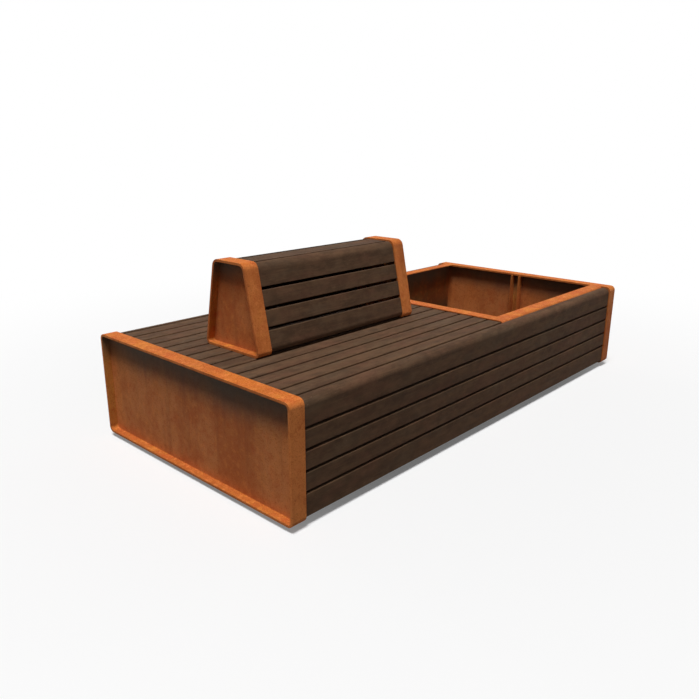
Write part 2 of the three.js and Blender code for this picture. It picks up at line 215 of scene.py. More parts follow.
@dataclass(frozen=True)
class Clouds:
    """Cloudy noise: patches in a metre, octaves of finer noise, and how strong these are.

    With three scales, one for each axis, the patches are stretched.
    """

    scale: float | Triple
    detail: float
    roughness: float = 0.55


@dataclass(frozen=True)
class Tint:
    """A colour that shows where clouds pass from one value, the start, to another, the full one.

    Its share is the same on all faces, but for what is added on level ones.
    """

    clouds: Clouds
    colour: Colour
    start: float
    full: float
    share: float
    level_extra: float = 0.0


class Recipe:
    """A node tree that is written as expressions."""

    MIX_FACTOR, MIX_FIRST, MIX_SECOND = 0, 6, 7  # inputs of a Mix node for colours
    MIX_RESULT = 2  # and its output

    def __init__(self, tree: bpy.types.NodeTree) -> None:
        """Empties a node tree and keeps it."""
        self.tree = tree
        self.noises: dict[tuple[Signal, Clouds], Signal] = {}
        tree.nodes.clear()

    def node(self, kind: str, settings: dict, sockets: dict, output: int | str = 0) -> Signal:
        """Adds one node.

        Args:
            kind: The node's type.
            settings: Its properties, set before its sockets.
            sockets: Values or signals for its inputs, by name or place.
            output: Name or place of the output to return.

        Returns:
            The chosen output.
        """
        node = self.tree.nodes.new(kind)
        for name, value in settings.items():
            setattr(node, name, value)
        for key, value in sockets.items():
            if isinstance(value, Signal):
                self.tree.links.new(value.socket, node.inputs[key])
            else:
                node.inputs[key].default_value = value
        return Signal(self, node.outputs[output] if node.outputs else None)

    def coordinates(self) -> Signal:
        """Object coordinates of the surface, in metres."""
        return self.node("ShaderNodeTexCoord", {}, {}, "Object")

    def attribute(self, name: str) -> Signal:
        """A number that is written on the mesh, or zero where there is none.

        Args:
            name: The attribute's name.

        Returns:
            Its value.
        """
        return self.node("ShaderNodeAttribute", {"attribute_name": name}, {}, "Fac")

    def normal_along(self, axis: Axis) -> Signal:
        """The part of the surface's normal that points along an axis.

        Args:
            axis: The axis.

        Returns:
            The part, from minus one to one.
        """
        normal = self.node("ShaderNodeTexCoord", {}, {}, "Normal")
        return self.node("ShaderNodeSeparateXYZ", {}, {"Vector": normal}, axis.name)

    def steepness(self) -> Signal:
        """How upright the surface is: zero on a level face and one on an upright one."""
        return 1.0 - abs(self.normal_along(Axis.Z))

    def near_side(self) -> Signal:
        """One on a surface that looks to the near end, and zero on all others."""
        none_at, full_at = -0.3, -0.6
        return self.normal_along(Axis.X).ramp(none_at, full_at)

    def noise(self, place: Signal, clouds: Clouds) -> Signal:
        """Cloudy noise from zero to one, which is made once for each place and kind.

        Args:
            place: Coordinates that it reads.
            clouds: Its kind.

        Returns:
            The noise.
        """
        if (place, clouds) in self.noises:
            return self.noises[place, clouds]
        sockets = {"Vector": place, "Detail": clouds.detail, "Roughness": clouds.roughness}
        if isinstance(clouds.scale, tuple):
            stretch = {"Vector": place, "Scale": clouds.scale}
            sockets["Vector"] = self.node("ShaderNodeMapping", {"vector_type": "POINT"}, stretch)
            sockets["Scale"] = 1.0
        else:
            sockets["Scale"] = clouds.scale
        self.noises[place, clouds] = self.node("ShaderNodeTexNoise", {}, sockets, "Fac")
        return self.noises[place, clouds]

    def blend(self, factor: Signal | float, first: object, second: object, mode: str = "MIX") -> Signal:
        """Mixes two colours.

        Args:
            factor: Share of the second colour.
            first: Colour or signal.
            second: Colour or signal.
            mode: How they are mixed.

        Returns:
            The mixed colour.
        """
        settings = {"data_type": "RGBA", "blend_type": mode}
        sockets = {self.MIX_FACTOR: factor, self.MIX_FIRST: first, self.MIX_SECOND: second}
        return self.node("ShaderNodeMix", settings, sockets, self.MIX_RESULT)

    def tinted(self, colour: object, place: Signal, tint: Tint, level: Signal | float = 0.0) -> Signal:
        """Adds a tint to a colour.

        Args:
            colour: The colour or signal.
            place: Coordinates that the tint's clouds read.
            tint: The tint.
            level: How level the surface is, from zero to one.

        Returns:
            The tinted colour.
        """
        share = tint.share + level * tint.level_extra if tint.level_extra else tint.share
        shown = self.noise(place, tint.clouds).ramp(tint.start, tint.full)
        return self.blend(shown * share, colour, linear(tint.colour))

    def grey(self, level: Signal) -> Signal:
        """A grey whose red, green and blue are one level."""
        return self.node("ShaderNodeCombineColor", {}, {"Red": level, "Green": level, "Blue": level})

    def bump(self, height: Signal, distance: float) -> Signal:
        """Turns a height from zero to one into a normal.

        Args:
            height: The height.
            distance: Real height of one, in metres.

        Returns:
            The normal.
        """
        return self.node("ShaderNodeBump", {}, {"Height": height, "Distance": distance, "Strength": 1.0})

    def principled(self, sockets: dict) -> None:
        """Ends a material in a principled surface with these inputs."""
        surface = self.node("ShaderNodeBsdfPrincipled", {}, sockets)
        self.node("ShaderNodeOutputMaterial", {}, {"Surface": surface})


def new_recipe(name: str) -> tuple[bpy.types.Material, Recipe]:
    """Makes an empty material.

    Args:
        name: The material's name.

    Returns:
        The material and the recipe for its nodes.
    """
    material = bpy.data.materials.new(name)
    material.use_nodes = True
    return material, Recipe(material.node_tree)


@dataclass(frozen=True)
class WeatheringSteel:
    """Steel under an even coat of orange rust, mottled, specked and faintly streaked by rain.

    Upright faces are paler and greyer, partly as rain-washed rust and partly as painted shade for how
    upright faces are lit, and the faces turned into a ring's recess are duller, as painted shade. Under
    a flange the coat turns a dull brown, painted shade where the flange's shadow falls, and inside the
    planter it is darkened from the floor up, painted shade for the dim inside of the box.
    """

    painted_shade_heights: Span | None = None  # heights, for the painted shade under a flange
    planter_shade_heights: Span | None = None  # heights, for the painted shade inside the planter
    # faces that get the painted shade under a flange
    painted_shade_faces: PaintedShadeFaces = PaintedShadeFaces.ALL_ROUND
    # upright faces: partly rain-washed rust, partly painted shade for how upright faces are lit
    upright_rust_and_shade: Colour = (203, 122, 66)
    upright_share: float = 0.8
    # painted shade inside the planter, from the floor up: its colour, share, and how far its edge wavers
    planter_shade: Colour = (104, 66, 42)
    planter_shade_share: float = 0.85
    planter_shade_waver: float = 60 * MILLIMETRE
    rust: Colour = (206, 112, 42)
    # painted shade on the faces turned into a ring's recess, level and upright
    inner_level_shaded: Colour = (182, 98, 40)
    inner_upright_shaded: Colour = (184, 132, 61)
    # painted shade under a flange: a dull brown, its share, and how far its edge wavers
    painted_shade_brown: Colour = (97, 87, 73)
    painted_shade_share: float = 0.92
    painted_shade_waver: float = 110 * MILLIMETRE

    red_rust: ClassVar[Colour] = (188, 80, 38)
    ochre_rust: ClassVar[Colour] = (214, 138, 52)
    deep_rust: ClassVar[Colour] = (168, 82, 34)
    pale_rust: ClassVar[Colour] = (232, 142, 74)
    umber: ClassVar[Colour] = (128, 66, 34)
    patches: ClassVar[Clouds] = Clouds(7.0, 3.0)
    mottling: ClassVar[Clouds] = Clouds(16.0, 4.0, 0.65)
    blotches: ClassVar[Clouds] = Clouds(38.0, 5.0, 0.6)
    grain: ClassVar[Clouds] = Clouds(210.0, 4.0, 0.65)
    specks: ClassVar[Clouds] = Clouds(130.0, 2.0)
    streaks: ClassVar[Clouds] = Clouds((15.0, 15.0, 1.3), 4.0)
    curtains: ClassVar[Clouds] = Clouds((4.0, 4.0, 1.0), 3.0)
    tints: ClassVar[tuple[Tint, ...]] = (
        Tint(mottling, ochre_rust, start=0.5, full=0.66, share=0.1, level_extra=0.5),
        Tint(mottling, red_rust, start=0.5, full=0.34, share=0.25, level_extra=0.3),
        Tint(patches, deep_rust, start=0.4, full=0.7, share=0.5),
        Tint(curtains, deep_rust, start=0.5, full=0.66, share=0.5, level_extra=-0.5),
        Tint(curtains, pale_rust, start=0.48, full=0.34, share=0.3, level_extra=-0.3),
        Tint(blotches, pale_rust, start=0.5, full=0.7, share=0.3, level_extra=0.3),
        Tint(blotches, deep_rust, start=0.48, full=0.3, share=0.4),
        Tint(grain, deep_rust, start=0.5, full=0.66, share=0.5),
        Tint(grain, pale_rust, start=0.5, full=0.36, share=0.0, level_extra=0.4),
        Tint(specks, umber, start=0.64, full=0.74, share=0.5),
        Tint(streaks, umber, start=0.5, full=0.72, share=0.35, level_extra=-0.35),
    )
    relief: float = 0.35 * MILLIMETRE
    grain_relief_share: float = 0.5
    roughness: Span = (0.62, 0.86)
    specular: float = 0.2

    def material(self, place_name: str) -> bpy.types.Material:
        """Builds the material.

        Args:
            place_name: Word for where on the bench it is, added to its name.

        Returns:
            The finished material.
        """
        material, recipe = new_recipe(f"{Slot.STEEL.value}_{place_name}")
        place = recipe.coordinates()
        upright = recipe.steepness()
        # upright faces blend towards their own colour, partly rain-washed rust and partly painted shade
        outer = recipe.blend(upright * self.upright_share, linear(self.rust), linear(self.upright_rust_and_shade))
        # faces turned into a recess take the painted-shade colours
        inner = recipe.blend(upright, linear(self.inner_level_shaded), linear(self.inner_upright_shaded))
        colour = recipe.blend(recipe.attribute(INNER_FACE), outer, inner)
        level = 1.0 - upright
        for tint in self.tints:
            colour = recipe.tinted(colour, place, tint, level)
        colour = self._with_painted_shade(recipe, place, colour)

        grain = recipe.noise(place, self.grain)
        blotches = recipe.noise(place, self.blotches)
        relief = grain * self.grain_relief_share + blotches * (1 - self.grain_relief_share)
        sockets = {
            "Base Color": colour,
            "Roughness": grain.ramp(*NOISE_SPREAD, *self.roughness),
            "Specular IOR Level": self.specular,
            "Normal": recipe.bump(relief, self.relief),
        }
        recipe.principled(sockets)
        return material

    def _with_painted_shade(self, recipe: Recipe, place: Signal, colour: Signal) -> Signal:
        """Paints shade: a dull brown under a flange, and a darkening inside the planter from the floor
        up.

        Args:
            recipe: Recipe of the material.
            place: Coordinates on the surface.
            colour: Colour of the rust.

        Returns:
            The weathered colour.
        """
        height = recipe.node("ShaderNodeSeparateXYZ", {}, {"Vector": place}, Axis.Z.name)
        if self.painted_shade_heights:
            # painted shadow under a flange, with a wavering edge
            waver = (recipe.noise(place, self.curtains) - NOISE_MIDDLE) * self.painted_shade_waver
            in_painted_shade = (height + waver).ramp(*self.painted_shade_heights)
            if self.painted_shade_faces is PaintedShadeFaces.INNER_FACES:
                in_painted_shade = in_painted_shade * recipe.attribute(INNER_FACE)
            # only on faces that look to the near end, where the overhead lamp leaves the flange's shadow
            if self.painted_shade_faces is PaintedShadeFaces.NEAR_SIDE:
                in_painted_shade = in_painted_shade * recipe.near_side()
            colour = recipe.blend(in_painted_shade * self.painted_shade_share, colour, linear(self.painted_shade_brown))
        # painted shade inside the planter, darker towards its floor
        if self.planter_shade_heights:
            planter_shaded = (height + recipe.noise(place, self.blotches) * self.planter_shade_waver).ramp(*self.planter_shade_heights)
            colour = recipe.blend(planter_shaded * self.planter_shade_share, colour, linear(self.planter_shade))
        return colour


@dataclass(frozen=True)
class DarkTimber:
    """Planed hardwood boards with a dark oil finish, a fine lengthwise grain and small flecks."""

    oiled: ClassVar[Colour] = (94, 70, 51)
    dark_grain: ClassVar[Colour] = (77, 56, 41)
    pale_grain: ClassVar[Colour] = (109, 82, 61)
    reddish: ClassVar[Colour] = (101, 69, 52)
    greyish: ClassVar[Colour] = (91, 73, 56)
    bands: ClassVar[Clouds] = Clouds((1.6, 26.0, 26.0), 3.0)
    fibres: ClassVar[Clouds] = Clouds((9.0, 260.0, 260.0), 3.0, 0.6)
    shades: ClassVar[Clouds] = Clouds((5.0, 14.0, 14.0), 3.0)
    tints: ClassVar[tuple[Tint, ...]] = (
        Tint(bands, dark_grain, start=0.3, full=0.7, share=1.0),
        Tint(fibres, pale_grain, start=0.5, full=0.75, share=0.6),
        Tint(fibres, dark_grain, start=0.5, full=0.25, share=0.5),
        Tint(shades, reddish, start=0.5, full=0.68, share=0.45),
        Tint(shades, greyish, start=0.5, full=0.32, share=0.45),
    )
    fleck: Colour = (138, 109, 86)
    flecks: Clouds = Clouds((120.0, 420.0, 420.0), 1.0)
    fleck_range: Span = (0.7, 0.8)
    fleck_share: float = 0.6
    fleck_relief_share: float = 0.3
    clouds: Clouds = Clouds((16.0, 30.0, 30.0), 5.0, 0.7)
    cloud_range: Span = (0.34, 0.66)
    cloud_tones: Span = (0.82, 1.18)
    board_offset: Triple = (370.0, 110.0, 230.0)  # of the grain, times the board's tone
    relief: float = 0.18 * MILLIMETRE
    roughness: Span = (0.75, 0.92)
    specular: float = 0.12

    def material(self) -> bpy.types.Material:
        """Builds the material.

        Returns:
            The finished material.
        """
        material, recipe = new_recipe(Slot.TIMBER.value)
        tone = recipe.attribute(BOARD_TONE)
        offset = {0: self.board_offset, "Scale": tone}
        shift = recipe.node("ShaderNodeVectorMath", {"operation": "SCALE"}, offset)
        place = recipe.node(
            "ShaderNodeVectorMath", {"operation": "ADD"}, {0: recipe.coordinates(), 1: shift}
        )
        colour = linear(self.oiled)
        for tint in self.tints:
            colour = recipe.tinted(colour, place, tint)
        flecks = recipe.noise(place, self.flecks).ramp(*self.fleck_range)
        colour = recipe.blend(flecks * self.fleck_share, colour, linear(self.fleck))
        tone = tone * recipe.noise(place, self.clouds).ramp(*self.cloud_range, *self.cloud_tones)
        colour = recipe.blend(1.0, colour, recipe.grey(tone), "MULTIPLY")

        fibres = recipe.noise(place, self.fibres)
        sockets = {
            "Base Color": colour,
            "Roughness": fibres.ramp(*NOISE_SPREAD, *self.roughness),
            "Specular IOR Level": self.specular,
            "Normal": recipe.bump(fibres + flecks * self.fleck_relief_share, self.relief),
        }
        recipe.principled(sockets)
        return material


@dataclass(frozen=True)
class ZincCoat:
    """Zinc on steel, with the crystals that cool on its surface."""

    slot: Slot
    bright: Colour
    dull: Colour
    crystal_scale: float
    crystal_share: float = 0.6
    crystals_in_cloud: float = 6.0
    cloud_detail: float = 3.0
    relief: float = 0.05 * MILLIMETRE
    roughness: Span = (0.38, 0.6)

    def material(self) -> bpy.types.Material:
        """Builds the material.

        Returns:
            The finished material.
        """
        material, recipe = new_recipe(self.slot.value)
        place = recipe.coordinates()
        sockets = {"Vector": place, "Scale": self.crystal_scale}
        cells = recipe.node("ShaderNodeTexVoronoi", {"feature": "F1"}, sockets, "Color")
        crystals = recipe.node("ShaderNodeSeparateColor", {}, {"Color": cells})
        cloud_scale = self.crystal_scale / self.crystals_in_cloud
        clouds = recipe.noise(place, Clouds(cloud_scale, self.cloud_detail))
        dulled = crystals * self.crystal_share + clouds * (1 - self.crystal_share)
        sockets = {
            "Base Color": recipe.blend(dulled, linear(self.bright), linear(self.dull)),
            "Metallic": 1.0,
            "Roughness": dulled.ramp(0.0, 1.0, *self.roughness),
            "Normal": recipe.bump(crystals, self.relief),
        }
        recipe.principled(sockets)
        return material


def deselect_all() -> None:
    """Leaves no object selected."""
    bpy.ops.object.select_all(action="DESELECT")


def activate(piece: bpy.types.Object) -> None:
    """Makes a piece the only selected and active object.

    Args:
        piece: The piece.
    """
    deselect_all()
    piece.select_set(True)
    bpy.context.view_layer.objects.active = piece


def start_block(name: str, low: Vector, high: Vector) -> bpy.types.Object:
    """Adds a block at its size and place, as the start of a piece.

    Args:
        name: The piece's name.
        low: Its lowest corner.
        high: Its highest corner.

    Returns:
        The block, with its place in its mesh.
    """
    deselect_all()
    bpy.ops.mesh.primitive_cube_add(size=1, location=(low + high) / 2, scale=high - low)
    piece = bpy.context.active_object
    piece.name = name
    piece.data.name = name
    bpy.ops.object.transform_apply(location=True, rotation=True, scale=True)
    return piece


@contextmanager
def editing(piece: bpy.types.Object) -> Iterator[None]:
    """Opens a piece in edit mode with nothing selected, and closes it again.

    Args:
        piece: The piece.

    Yields:
        Nothing: the piece is in edit mode meanwhile.
    """
    activate(piece)
    bpy.ops.object.mode_set(mode="EDIT")
    bpy.ops.mesh.select_all(action="DESELECT")
    yield
    bpy.ops.object.mode_set(mode="OBJECT")


def pick(kind: Pick, test: Callable[[bmesh.types.BMEdge | bmesh.types.BMFace], bool]) -> None:
    """Selects, in edit mode, only the edges or faces that pass a test.

    Args:
        kind: What is selected.
        test: Tells of an edge or face whether it is selected.
    """
    bpy.ops.mesh.select_all(action="DESELECT")
    bpy.context.tool_settings.mesh_select_mode = (False, kind is Pick.EDGES, kind is Pick.FACES)
    mesh = bmesh.from_edit_mesh(bpy.context.active_object.data)
    for element in getattr(mesh, kind.value):
        element.select_set(test(element))
    bmesh.update_edit_mesh(bpy.context.active_object.data)


def runs_along(edge: bmesh.types.BMEdge, axis: Axis) -> bool:
    """Tells whether an edge runs along an axis."""
    return abs((edge.verts[1].co - edge.verts[0].co).normalized()[axis.value]) > ALONG


def middle(edge: bmesh.types.BMEdge) -> Vector:
    """The middle of an edge."""
    return (edge.verts[0].co + edge.verts[1].co) / 2


def is_sharp(edge: bmesh.types.BMEdge) -> bool:
    """Tells whether two faces meet at an edge more squarely than inside a round."""
    return len(edge.link_faces) == 2 and edge.calc_face_angle() > SHARP


def faces_along(face: bmesh.types.BMFace, axis: Axis, sign: int = 0, beyond: float = 0.0) -> bool:
    """Tells whether a face looks along an axis and lies far enough from the middle line.

    Args:
        face: The face.
        axis: The axis.
        sign: One for the axis itself, minus one against it, zero for both.
        beyond: Least distance of its middle from the middle line, along Y.

    Returns:
        True if it does.
    """
    along = face.normal[axis.value]
    outside = abs(face.calc_center_median().y) >= beyond
    return outside and (along * sign if sign else abs(along)) > ALONG


def round_picked(radius: float, segments: int) -> None:
    """Rounds the selected edges.

    Args:
        radius: Radius of the round.
        segments: Number of faces across it.
    """
    bpy.ops.mesh.bevel(
        offset=radius, offset_type="OFFSET", segments=segments, profile=ROUND_PROFILE, affect="EDGES"
    )


def draw_out(reach: Triple) -> None:
    """Extrudes the selected faces by a length along each axis."""
    bpy.ops.mesh.extrude_region_move(TRANSFORM_OT_translate={"value": reach})


def cut_across(place: float) -> None:
    """Cuts the mesh in edit mode by a plane across Y, and keeps both parts."""
    bpy.ops.mesh.select_all(action="SELECT")
    bpy.ops.mesh.bisect(plane_co=(0, place, 0), plane_no=(0, 1, 0))


def trim(place: Triple, outwards: Triple) -> None:
    """Takes off, in edit mode, what lies outside a plane, and closes the cut.

    Args:
        place: A point of the plane.
        outwards: Direction of the side that is taken off.
    """
    bpy.ops.mesh.select_all(action="SELECT")
    bpy.ops.mesh.bisect(plane_co=place, plane_no=outwards, use_fill=True, clear_outer=True)


def smooth(piece: bpy.types.Object) -> None:
    """Shades the rounds smooth and keeps flat faces flat, by applied weighted normals.

    Args:
        piece: The piece.
    """
    activate(piece)
    bpy.ops.object.shade_smooth_by_angle(angle=SMOOTH)
    bpy.ops.object.modifier_add(type="WEIGHTED_NORMAL")
    modifier = piece.modifiers[-1]
    modifier.keep_sharp = True
    modifier.weight = LARGE_FACES_FIRST
    bpy.ops.object.modifier_apply(modifier=modifier.name)


def give_tone(piece: bpy.types.Object, tone: float) -> None:
    """Writes a board's tone on all its points. Its grain depends on it as well."""
    layer = piece.data.attributes.new(BOARD_TONE, "FLOAT", "POINT")
    layer.data.foreach_set("value", [tone] * len(piece.data.vertices))


def mark_inner_faces(piece: bpy.types.Object, is_inner: Callable[[bpy.types.MeshPolygon], bool]) -> None:
    """Marks, by an attribute, the faces of a steel piece that are turned inwards, which get painted
    shade.

    Args:
        piece: The piece.
        is_inner: Tells of a face whether it is one of them.
    """
    layer = piece.data.attributes.new(INNER_FACE, "FLOAT", "FACE")
    layer.data.foreach_set("value", [float(is_inner(polygon)) for polygon in piece.data.polygons])


@dataclass
class Boarding:
    """Modelling of timber boards that run along X, with eased edges."""

    ease: float = 3.5 * MILLIMETRE
    ease_segments: int = 3
    end_ease: float = 1.0 * MILLIMETRE
    end_segments: int = 1
    corner_round: float = 30 * MILLIMETRE
    round_segments: int = 9
    tones: Span = (0.96, 1.04)
    draws: random.Random = field(default_factory=lambda: random.Random(TONE_SEED))

    def finish(
        self,
        piece: bpy.types.Object,
        rounded: Corner | None = None,
        darker: float = 1.0,
        ease: float | None = None,
    ) -> None:
        """Rounds at most one long edge of a board, eases all others and draws its tone.

        Args:
            piece: The board, a closed prism along X.
            rounded: Place in Y and Z of the edge that is rounded.
            darker: Factor on its tone.
            ease: Its own broken edges, if they differ from those of other boards.
        """
        with editing(piece):
            if rounded:
                nearest = self._nearest_long_edge(piece, Vector(rounded))
                pick(Pick.EDGES, lambda edge: (middle(edge).yz - nearest).length < TOLERANCE)
                round_picked(self.corner_round, self.round_segments)
            pick(Pick.EDGES, lambda edge: runs_along(edge, Axis.X) and is_sharp(edge))
            round_picked(ease or self.ease, self.ease_segments)
            pick(Pick.EDGES, is_sharp)
            round_picked(self.end_ease, self.end_segments)
        smooth(piece)
        give_tone(piece, darker * self.draws.uniform(*self.tones))

    @staticmethod
    def _nearest_long_edge(piece: bpy.types.Object, place: Vector) -> Vector:
        """Finds the long edge that lies nearest to a place in Y and Z.

        Args:
            piece: The board, in edit mode.
            place: The place.

        Returns:
            Where the edge is, in Y and Z.
        """
        mesh = bmesh.from_edit_mesh(piece.data)
        long_edges = [middle(edge).yz for edge in mesh.edges if runs_along(edge, Axis.X)]
        return min(long_edges, key=lambda spot: (spot - place).length)


@dataclass
class SubAssembly:
    """Pieces that are built and dressed together, each standing for one node of the frame."""

    pieces: dict[str, bpy.types.Object] = field(default_factory=dict, init=False)

    def block(self, node: str, corners: tuple[Vector, Vector] | None = None) -> bpy.types.Object:
        """Starts the piece for a node with a block.

        Args:
            node: The node.
            corners: The block's lowest and highest corner, if they aren't the node's own.

        Returns:
            The block.
        """
        self.pieces[node] = start_block(f"{node}_dressed", *(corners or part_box(node)))
        return self.pieces[node]

    def build(self) -> None:
        """Builds the meshes."""
        raise NotImplementedError

    def dress(self, material: bpy.types.Material, slot: Slot) -> None:
        """Gives all pieces their finish and lets them stand for their nodes.

        Args:
            material: The finish.
            slot: Not used.
        """
        for node, piece in self.pieces.items():
            piece.data.materials.clear()
            piece.data.materials.append(material)
            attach(piece, BODY)
            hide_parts(node)
            LOG.info("%s: %d faces, stands for %s", piece.name, len(piece.data.polygons), node)


@dataclass
class SeatDeck(SubAssembly):
    """The seat boards between the near end ring and the planter."""

    boarding: Boarding
    count: int = 14

    def build(self) -> None:
        """Builds one board for each node."""
        for number in range(1, self.count + 1):
            self.boarding.finish(self.block(f"seat_slat_{number}"))


@dataclass
class SideCladding(SubAssembly):
    """The boards of both long sides, with the corner boards that turn into the seat."""

    boarding: Boarding
    count: int = 4

    def build(self) -> None:
        """Builds both sides from the top down."""
        for side in Side:
            name = side.name.lower()
            low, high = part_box(f"corner_slat_{name}")
            outside = high.y if side is Side.BACK else low.y
            self.boarding.finish(self.block(f"corner_slat_{name}"), (outside, high.z))
            for number in range(1, self.count + 1):
                self.boarding.finish(self.block(f"side_slat_{name}_{number}"))


@dataclass
class BentRing:
    """Modelling of a ring bent from plate, with a closed outline in Y and Z."""

    plate: float = 10 * MILLIMETRE
    bend: float = 25 * MILLIMETRE
    bend_segments: int = 10
    edge: float = 0.6 * MILLIMETRE

    def shape(self, piece: bpy.types.Object, centre: Vector) -> None:
        """Turns a closed prism along X into a ring of plate.

        Args:
            piece: The prism.
            centre: Its centre.
        """
        with editing(piece):
            pick(Pick.EDGES, lambda edge: runs_along(edge, Axis.X))
            round_picked(self.bend, self.bend_segments)
            pick(Pick.FACES, lambda face: faces_along(face, Axis.X))
            bpy.ops.mesh.inset(thickness=self.plate, use_even_offset=True, use_individual=True)
            bpy.ops.mesh.delete(type="FACE")
            pick(Pick.EDGES, lambda edge: edge.is_boundary)
            bpy.ops.mesh.bridge_edge_loops()
            bpy.ops.mesh.select_all(action="SELECT")
            bpy.ops.mesh.normals_make_consistent(inside=False)
            pick(Pick.EDGES, is_sharp)
            round_picked(self.edge, EDGE_SEGMENTS)
        smooth(piece)
        # the faces turned into the ring are marked for painted shade
        mark_inner_faces(
            piece,
            lambda polygon: polygon.normal.yz.length > MOSTLY
            and polygon.normal.yz.dot(centre.yz - polygon.center.yz) > 0,
        )


@dataclass
class EndRings(SubAssembly):
    """The two rings that close the bench at its ends."""

    ring: BentRing

    def build(self) -> None:
        """Builds both rings."""
        for end in End:
            node = f"{end.value}_end_ring"
            low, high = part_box(node)
            self.ring.shape(self.block(node), (low + high) / 2)


@dataclass
class PlanterRim(SubAssembly):
    """The planter's rim, of thick sheet, with its outer edges turned down beside the corner boards."""

    near_strip: float = 62 * MILLIMETRE
    side_strip: float = 66.7 * MILLIMETRE
    sheet: float = 5.7 * MILLIMETRE
    bend: float = 12 * MILLIMETRE
    bend_segments: int = 8
    edge: float = 1.0 * MILLIMETRE

    def build(self) -> None:
        """Builds a strip across the seat, draws two strips out of it, and turns their sides down."""
        node = "planter_rim"
        low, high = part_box(node)
        level = high.z - self.sheet
        start = Vector((low.x, low.y, level))
        rim = self.block(node, (start, Vector((low.x + self.near_strip, high.y, high.z))))
        with editing(rim):
            for side in Side:
                cut_across(side.value * (high.y - self.side_strip))
                cut_across(side.value * (high.y - self.sheet))
            pick(Pick.FACES, lambda face: faces_along(face, Axis.X, 1, high.y - self.side_strip))
            draw_out((high.x - low.x - self.near_strip, 0, 0))
            pick(Pick.FACES, lambda face: faces_along(face, Axis.Z, -1, high.y - self.sheet))
            draw_out((0, 0, low.z - level))
            bpy.ops.mesh.select_all(action="SELECT")
            bpy.ops.mesh.dissolve_limited(angle_limit=FLAT_ANGLE)
            pick(Pick.EDGES, lambda edge: self._at_bend(edge, high.y, high.z))
            round_picked(self.bend, self.bend_segments)
            pick(Pick.EDGES, lambda edge: self._at_bend(edge, high.y - self.sheet, level))
            round_picked(self.bend - self.sheet, self.bend_segments)
            pick(Pick.EDGES, is_sharp)
            round_picked(self.edge, EDGE_SEGMENTS)
        smooth(rim)

    @staticmethod
    def _at_bend(edge: bmesh.types.BMEdge, half: float, height: float) -> bool:
        """Tells whether an edge runs along X at a height and at one distance to both sides.

        Args:
            edge: The edge.
            half: Distance from the middle line.
            height: Height over the ground.

        Returns:
            True if it does.
        """
        place = middle(edge)
        near = abs(abs(place.y) - half) < TOLERANCE and abs(place.z - height) < TOLERANCE
        return near and runs_along(edge, Axis.X)


@dataclass
class PlanterChannel(SubAssembly):
    """The upright channel on the planter's end wall."""

    sheet: float = 4 * MILLIMETRE
    edge: float = 0.5 * MILLIMETRE

    def build(self) -> None:
        """Builds a back sheet and draws two fins out of its sides."""
        node = "planter_stiffener"
        low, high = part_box(node)
        channel = self.block(node, (Vector((high.x - self.sheet, low.y, low.z)), high))
        with editing(channel):
            for side in Side:
                cut_across(side.value * (high.y - self.sheet))
            pick(Pick.FACES, lambda face: faces_along(face, Axis.X, -1, high.y - self.sheet))
            draw_out((low.x - high.x + self.sheet, 0, 0))
            pick(Pick.EDGES, is_sharp)
            round_picked(self.edge, EDGE_SEGMENTS)
        smooth(channel)
        # the back sheet between the fins is marked, so that it gets painted shade
        mark_inner_faces(
            channel, lambda polygon: polygon.normal.x < -MOSTLY and polygon.center.x > low.x + self.sheet
        )


@dataclass
class BackrestRings(SubAssembly):
    """The two trapezium-shaped rings of the backrest."""

    ring: BentRing
    crown: float = 185 * MILLIMETRE  # width at the top

    def build(self) -> None:
        """Builds both rings."""
        for end in End:
            node = f"backrest_{end.value}_ring"
            piece = self.block(node)
            low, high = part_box(node)
            with editing(piece):
                pick(Pick.FACES, lambda face: faces_along(face, Axis.Z, 1))
                bpy.ops.transform.resize(
                    value=(1, self.crown / (high.y - low.y), 1), center_override=(0, 0, high.z)
                )
            self.ring.shape(piece, (low + high) / 2)


